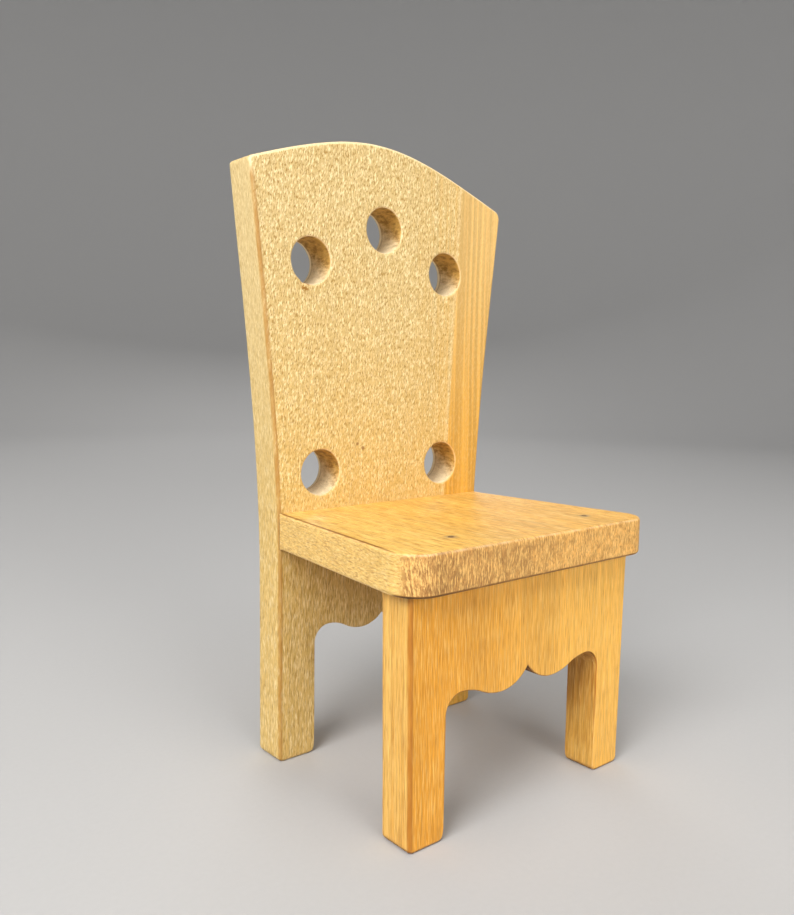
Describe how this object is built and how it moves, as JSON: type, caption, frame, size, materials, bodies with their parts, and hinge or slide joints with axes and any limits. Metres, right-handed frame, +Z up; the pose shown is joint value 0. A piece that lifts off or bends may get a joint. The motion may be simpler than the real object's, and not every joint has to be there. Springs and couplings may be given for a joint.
{
  "type": "miniature chair",
  "caption": "Miniature wooden chair sawn from flat boards: crowned, flared back with round through-holes, tapered seat with rounded front corners, scalloped aprons between straight legs.",
  "frame": {"origin": "on the floor, at the middle of the chair's outer box seen from above", "axes": "+Z up, -Y towards the front edge of the seat, +X to the right seen from the front"},
  "size_m": [0.0871, 0.0694, 0.164],
  "materials": {
    "back_wood": "pale fine-flecked hardwood, sanded, thin clear satin finish",
    "seat_wood": "golden hardwood, sanded, thin clear satin finish",
    "leg_wood": "golden hardwood, sanded, thin clear satin finish",
    "brad_steel": "dull darkened steel"
  },
  "bodies": {
    "root": {"back_board": "back_wood", "seat_board": "seat_wood", "front_leg_board": "leg_wood", "seat_brads": "brad_steel", "back_brads": "brad_steel"}
  },
  "joints": []
}
